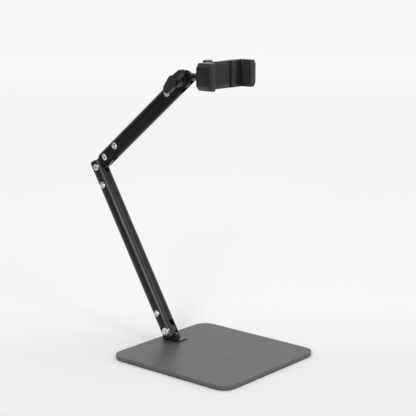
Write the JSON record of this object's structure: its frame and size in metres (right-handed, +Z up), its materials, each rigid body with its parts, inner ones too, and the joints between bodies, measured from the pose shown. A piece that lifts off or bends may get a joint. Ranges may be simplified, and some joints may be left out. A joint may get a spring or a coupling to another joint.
{
  "type": "overhead phone stand",
  "caption": "Weighted base plate, two folding tube arms with hinged elbow, and a ball-headed spring clamp that holds a phone above the desk.",
  "frame": {"origin": "centre of the base's underside", "axes": "+Z up, +X the way the arms reach and the phone faces, the arms swing in the XZ plane"},
  "size_m": [0.3356, 0.2, 0.4123],
  "materials": {
    "painted_steel": "fine textured black powder coat",
    "anodised_aluminium": "satin black anodised",
    "painted_fittings": "satin black paint",
    "knob_plastic": "fine grained black",
    "clamp_plastic": "fine grained black",
    "rubber": "matt black",
    "nylon": "natural nylon",
    "nickel_plate": "nickel plate",
    "polished_steel": "polished"
  },
  "bodies": {
    "base": {"base_plate": "painted_steel", "base_pad": "rubber", "foot_bracket": "painted_fittings", "foot_screw": "painted_fittings", "under_screw_rear": "nickel_plate", "under_screw_front": "nickel_plate", "base_bolt": "nickel_plate", "base_nut": "nickel_plate"},
    "lower_arm": {"lower_tube": "anodised_aluminium", "lower_plug_near": "anodised_aluminium", "lower_plug_far": "anodised_aluminium", "lower_screw_near": "nickel_plate", "lower_screw_far": "nickel_plate", "lower_screw_near_cup": "nickel_plate", "lower_screw_far_cup": "nickel_plate", "base_washer_near": "nylon", "base_washer_far": "nylon", "elbow_lower_washer_near": "nylon", "elbow_lower_washer_far": "nylon"},
    "elbow": {"elbow_link": "painted_fittings", "elbow_lower_bolt": "nickel_plate", "elbow_lower_nut": "nickel_plate", "elbow_upper_bolt": "nickel_plate", "elbow_upper_nut": "nickel_plate"},
    "upper_arm": {"upper_tube": "anodised_aluminium", "upper_plug_near": "anodised_aluminium", "upper_plug_far": "anodised_aluminium", "upper_screw_near": "nickel_plate", "upper_screw_far": "nickel_plate", "upper_screw_near_cup": "nickel_plate", "upper_screw_far_cup": "nickel_plate", "elbow_upper_washer_near": "nylon", "elbow_upper_washer_far": "nylon", "head_washer_near": "nylon", "head_washer_far": "nylon", "head_pin": "nickel_plate", "lever_washer": "nickel_plate"},
    "lever": {"clamp_lever": "knob_plastic"},
    "head": {"head_knuckle": "painted_fittings", "ball_housing": "anodised_aluminium", "ball_seat": "nylon", "pressure_pad": "nylon"},
    "lock": {"lock_knob": "knob_plastic", "lock_screw": "nickel_plate"},
    "ball": {"ball_stud": "polished_steel"},
    "clamp": {"clamp_body": "clamp_plastic", "clamp_cover": "clamp_plastic", "cover_screw_near_low": "nickel_plate", "cover_screw_near_high": "nickel_plate", "cover_screw_far_low": "nickel_plate", "cover_screw_far_high": "nickel_plate", "mount_nut": "nickel_plate", "back_pad": "rubber", "fixed_jaw_pad": "rubber", "jaw_spring_low": "nickel_plate", "jaw_spring_high": "nickel_plate"},
    "jaw": {"sliding_jaw": "clamp_plastic", "sliding_jaw_pad": "rubber"}
  },
  "joints": [
    {"name": "base_hinge", "type": "hinge", "parent": "base", "child": "lower_arm", "pos_m": [-0.0834, 0, 0.0212], "axis": [0, 1, 0], "range_deg": [-54, 62]},
    {"name": "elbow_lower_hinge", "type": "hinge", "parent": "lower_arm", "child": "elbow", "pos_m": [-0.2183, 0, 0.2451], "axis": [0, -1, 0], "range_deg": [-12, 167]},
    {"name": "elbow_upper_hinge", "type": "hinge", "parent": "elbow", "child": "upper_arm", "pos_m": [-0.20026, 0, 0.2624], "axis": [0, -1, 0], "range_deg": [-85, 94]},
    {"name": "head_tilt", "type": "hinge", "parent": "upper_arm", "child": "head", "pos_m": [-0.05362, 0, 0.38243], "axis": [0, 1, 0], "range_deg": [-134, 75]},
    {"name": "lever_turn", "type": "hinge", "parent": "upper_arm", "child": "lever", "pos_m": [-0.05362, 0, 0.38243], "axis": [0, 1, 0], "continuous": true},
    {"name": "lock_turn", "type": "hinge", "parent": "head", "child": "lock", "pos_m": [-0.01132, 0, 0.38803], "axis": [0, 0, 1], "continuous": true},
    {"name": "ball_tilt", "type": "hinge", "parent": "head", "child": "ball", "pos_m": [-0.01132, 0, 0.38803], "axis": [0, 1, 0], "range_deg": [-28, 28]},
    {"name": "clamp_roll", "type": "hinge", "parent": "ball", "child": "clamp", "pos_m": [-0.01132, 0, 0.38803], "axis": [1, 0, 0], "continuous": true},
    {"name": "jaw_slide", "type": "slide", "parent": "clamp", "child": "jaw", "axis": [0, 1, 0], "range_m": [0, 0.028], "stiffness_N_per_m": 60, "springref_m": -0.015, "deforming": ["jaw_spring_low", "jaw_spring_high"]}
  ]
}
